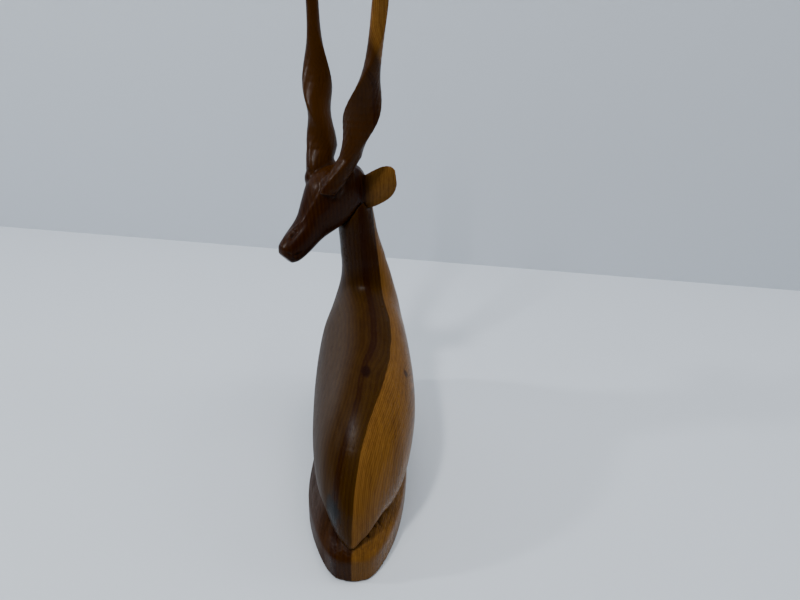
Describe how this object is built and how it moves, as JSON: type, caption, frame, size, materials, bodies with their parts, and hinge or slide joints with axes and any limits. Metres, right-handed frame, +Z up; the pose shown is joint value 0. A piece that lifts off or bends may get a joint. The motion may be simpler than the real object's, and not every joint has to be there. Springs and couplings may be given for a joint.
{
  "type": "carved animal figure",
  "caption": "Hand-carved wooden resting antelope with tall twisted horns, head turned back over its shoulder, on a low boat-shaped plinth.",
  "frame": {"origin": "middle of the plinth's underside", "axes": "+Z up, +Y the way the resting animal faces along the plinth, +X the animal's right side"},
  "size_m": [0.0713, 0.16, 0.3222],
  "materials": {
    "oiled_wood": "two-tone heartwood and sapwood of one dense timber, oiled and hand polished to a soft shine",
    "dowel_wood": "plain turned dowel, unfinished, hidden inside the glued joints"
  },
  "bodies": {
    "root": {"plinth": "oiled_wood", "torso": "oiled_wood", "head": "oiled_wood", "horn_left": "oiled_wood", "horn_right": "oiled_wood", "ear_left": "oiled_wood", "ear_right": "oiled_wood", "dowel_neck": "dowel_wood", "dowel_front": "dowel_wood", "dowel_rear": "dowel_wood"}
  },
  "joints": []
}
